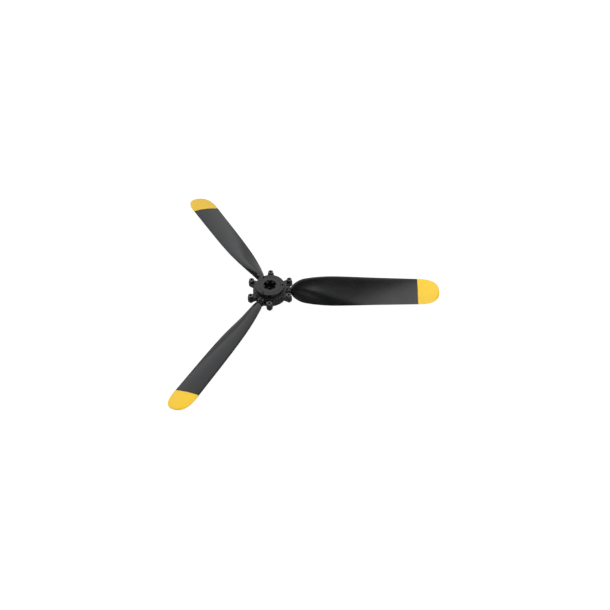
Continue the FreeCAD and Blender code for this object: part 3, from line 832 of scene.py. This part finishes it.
def moulding_material(name, blacks, roughness, wear_and_highlight):
    """Black moulded nylon of the hub: grained, rubbed grey along its edges with a painted highlight there
    too, dusty in its corners and painted dark there as shade.
    """
    material, tree, principled = new_material(name, Specular_IOR_Level=0.55)
    where = add(tree, "TexCoord").outputs["Object"]
    skin = use(tree, MOULDED_GRAIN, Position=where, Grain_scale=2200.0, Cloud_scale=260.0)
    rub_and_highlight = use(tree, EDGE_WEAR_AND_HIGHLIGHT, Position=where, Radius=0.7 * MM, Amount=wear_and_highlight)
    dust_and_shade = use(tree, DUST_AND_CORNER_SHADE, Position=where, Amount=0.35)
    scuffs = use(tree, SCUFFS, Position=where, Stretch=(1.0, 1.0, 3.0), Amount=0.5)["Scuffs"]
    colour = blend(tree, skin["Cloud"], grey(blacks[0]), grey(blacks[1]))
    # Painted shade: corners that see little of the sky are darkened to near black.
    colour = blend(tree, ramp(tree, dust_and_shade["Open"], 0.75, 0.35), colour, grey(0.0012))
    colour = blend(tree, dust_and_shade["Dust"], colour, grey(0.010, 0.12))
    colour = blend(tree, scuffs, colour, grey(0.05))
    # Edges lightened grey: partly worn, partly a painted highlight.
    colour = blend(tree, rub_and_highlight["Wear"], colour, grey(0.13))
    shine = ramp(tree, skin["Cloud"], 0.3, 0.7, roughness - 0.05, roughness + 0.07)
    shine = arithmetic(tree, "MULTIPLY_ADD", dust_and_shade["Dust"], 0.5, shine)
    finish_surface(tree, principled, colour, shine, skin["Height"], 0.014 * MM, rub_and_highlight["Rounded"])
    return material


def metal_material(name, low, high, roughness, bright, wear_and_highlight, ring_scale):
    """Turned metal: fine lathe rings round its own axis, brighter on its edges where worn and as a painted
    highlight, painted darker as shade in its corners and in a screw's socket.
    """
    material, tree, principled = new_material(name, Metallic=1.0)
    where = add(tree, "TexCoord").outputs["Object"]
    around = attribute(tree, "lathe")
    rings = noise(tree, add(tree, "CombineXYZ", X=around).outputs[0], ring_scale, 4.0, 0.7)
    cloud = noise(tree, where, 350.0, 4.0)
    rub_and_highlight = use(tree, EDGE_WEAR_AND_HIGHLIGHT, Position=where, Radius=0.4 * MM, Amount=wear_and_highlight)
    dust_and_shade = use(tree, DUST_AND_CORNER_SHADE, Position=where, Reach=1.6 * MM, Amount=0.5)
    colour = blend(tree, cloud, low, high)
    # Edges lightened to the bright colour: partly worn, partly a painted highlight.
    colour = blend(tree, rub_and_highlight["Wear"], colour, bright)
    # Painted shade: corners that see little of the sky are darkened to near black.
    colour = blend(tree, ramp(tree, dust_and_shade["Open"], 0.8, 0.3), colour, grey(0.002))
    # Painted shade: the inside of a screw's hex socket is painted near black.
    colour = blend(tree, attribute(tree, "socket"), colour, grey(0.002))
    shine = ramp(tree, cloud, 0.3, 0.7, roughness - 0.05, roughness + 0.06)
    shine = arithmetic(tree, "MULTIPLY_ADD", dust_and_shade["Dust"], 0.35, shine)
    finish_surface(tree, principled, colour, shine, rings, 0.006 * MM, rub_and_highlight["Rounded"])
    return material


# The studio

CAMERA_PLACE = Vector((0.0724, -0.8535, 0.8824))
CAMERA_AIM = Vector((0.0369, -0.0212, 0.0120))
CAMERA_ROLL = -2.52
CAMERA_LENS = 68.33

# How bright the surroundings and the floor are, and the heights between which the low band fades.
FRONT_GLOW = 0.05
FRONT_LOW_GLOW = 0.18
BACK_GLOW = 1.15
BAND_GLOW = 1.0
BAND_TOP = (0.30, 0.58)
TOP_GLOW = 0.09
SKY_TINT = (0.97, 0.98, 1.0, 1)
FLOOR_GLOW = 0.97
FLOOR_REFLECTED = 0.22
FLOOR_REACH = 4

# Name, place, the point it faces, its two sides, watts, roll in degrees, and whether it is reflected.
LIGHTS = (
    ("tip_panel", (0.218, -0.02, 0.30), (0.218, -0.0199, 0), (0.128, 0.42), 0.43, -20.0, True),
    ("key_box", (-0.35, -0.40, 0.95), (0, 0, 0.01), (0.5, 0.5), 5.2, 0.0, False),
    ("rim_strip", (0.14, -0.60, 0.34), (0, 0, 0.01), (0.06, 0.20), 0.16, 0.0, True),
)


def aimed(place, aim, roll):
    """The rotation of a camera or light that faces a point and is rolled about its own axis."""
    facing = (Vector(aim) - Vector(place)).to_track_quat("-Z", "Y").to_matrix()
    return (facing @ Matrix.Rotation(math.radians(roll), 3, "Z")).to_euler()


def set_camera():
    """The one camera: in front of the hub and above it, level but for a slight roll."""
    camera = bpy.data.cameras.new("camera")
    camera.sensor_width = 36.0
    camera.lens = CAMERA_LENS
    stand = bpy.data.objects.new("camera", camera)
    stand.location = CAMERA_PLACE
    stand.rotation_euler = aimed(CAMERA_PLACE, CAMERA_AIM, CAMERA_ROLL)
    bpy.context.scene.collection.objects.link(stand)
    bpy.context.scene.camera = stand


def soft_light(name, place, aim, size, power, roll, glossy):
    """A rectangular soft box at a place, facing a point and rolled about its own axis."""
    light = bpy.data.lights.new(name, "AREA")
    light.shape = "RECTANGLE"
    light.size, light.size_y = size
    light.energy = power
    stand = bpy.data.objects.new(name, light)
    stand.location = place
    stand.rotation_euler = aimed(place, aim, roll)
    stand.visible_camera = False
    stand.visible_glossy = glossy
    bpy.context.scene.collection.objects.link(stand)


def set_sky():
    """Studio surroundings: a bright band low behind the object, dim in front of it and overhead.

    The camera itself sees plain white.
    """
    world = bpy.data.worlds.new("studio")
    bpy.context.scene.world = world
    world.use_nodes = True
    tree = world.node_tree
    direction = add(tree, "SeparateXYZ", Vector=add(tree, "TexCoord").outputs["Generated"])
    low_band = ramp(tree, direction.outputs["Z"], BAND_TOP[0], BAND_TOP[1], BAND_GLOW, BACK_GLOW)
    behind = ramp(tree, direction.outputs["Y"], -0.25, 0.45)
    front = ramp(tree, direction.outputs["Z"], 0.42, 0.68, FRONT_LOW_GLOW, FRONT_GLOW)
    step = arithmetic(tree, "SUBTRACT", low_band, front)
    glow = arithmetic(tree, "MULTIPLY_ADD", behind, step, front)
    overhead = ramp(tree, direction.outputs["Z"], 0.72, 0.97)
    clear = arithmetic(tree, "MULTIPLY", glow, arithmetic(tree, "SUBTRACT", 1.0, overhead))
    glow = arithmetic(tree, "MULTIPLY_ADD", overhead, TOP_GLOW, clear)
    seen = add(tree, "LightPath").outputs["Is Camera Ray"]
    link(tree, arithmetic(tree, "MAXIMUM", glow, seen), tree.nodes["Background"].inputs["Strength"])
    tree.nodes["Background"].inputs["Color"].default_value = SKY_TINT


def set_studio():
    """Sky, lights and a floor that the camera sees as white, and that reflects less than it shows."""
    bpy.context.scene.view_settings.view_transform = "Standard"
    set_sky()
    for light in LIGHTS:
        soft_light(*light)
    corners = np.array(((-1, -1, 0), (1, -1, 0), (1, 1, 0), (-1, 1, 0)), float) * FLOOR_REACH
    floor = mesh_object("floor", (corners, [[0, 1, 2, 3]]))
    material, tree, principled = new_material("floor", Roughness=0.9)
    direct = add(tree, "LightPath").outputs["Is Camera Ray"]
    glow = ramp(tree, direct, 0.0, 1.0, FLOOR_REFLECTED, FLOOR_GLOW)
    link(tree, glow, principled.inputs["Emission Strength"])
    principled.inputs["Base Color"].default_value = (0.10, 0.10, 0.10, 1)
    principled.inputs["Emission Color"].default_value = (1, 1, 1, 1)
    floor.data.materials.append(material)


set_camera()
set_studio()

BLADE_FINISH = blade_material()
for name, degrees in BLADE_TURNS.items():
    piece = blade_surface(f"{name}_moulding", degrees)
    piece.data.materials.append(BLADE_FINISH)
    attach(piece, name)
    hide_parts(name)

HUB_FINISH = moulding_material("hub_nylon_black", (0.0040, 0.0080), 0.27, 0.85)
SLEEVE_FINISH = moulding_material("sleeve_nylon_black", (0.0060, 0.0105), 0.25, 0.9)
# Painted shade: the bush's bronze gets a very dark olive colour, the look it has in shadow down its well.
BRONZE_FINISH = metal_material(
    "bush_bronze_oiled",
    low=(0.070, 0.067, 0.042, 1),
    high=(0.105, 0.101, 0.064, 1),
    roughness=0.45,
    bright=(0.28, 0.25, 0.15, 1),
    wear_and_highlight=0.5,
    ring_scale=2500.0,
)
BRASS_FINISH = metal_material(
    "insert_brass_turned",
    low=(0.55, 0.36, 0.12, 1),
    high=(0.66, 0.45, 0.17, 1),
    roughness=0.30,
    bright=(0.80, 0.58, 0.26, 1),
    wear_and_highlight=0.4,
    ring_scale=2500.0,
)
STEEL_FINISH = metal_material(
    "screw_black_oxide",
    low=grey(0.085, 0.03),
    high=grey(0.150, 0.03),
    roughness=0.28,
    bright=grey(0.50),
    wear_and_highlight=0.95,
    ring_scale=3500.0,
)
for node, build in (("hub_front", hub_front), ("hub_rear", hub_rear), ("nut_sleeve", nut_sleeve)):
    piece = build()
    piece.data.materials.clear()
    piece.data.materials.append(SLEEVE_FINISH if node == "nut_sleeve" else HUB_FINISH)
    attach(piece, "hub")
    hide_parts(node)

piece = shaft_bush()
piece.data.materials.append(BRONZE_FINISH)
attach(piece, "hub")
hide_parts("shaft_bush")

for number, degrees in enumerate(SCREW_TURNS, start=1):
    piece = clamp_screw(number, degrees)
    piece.data.materials.append(STEEL_FINISH)
    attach(piece, "hub")
    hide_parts(f"clamp_screw_{number}")
    for place in frame["nodes"][f"thread_insert_{number}"].material_slots:
        place.material = BRASS_FINISH
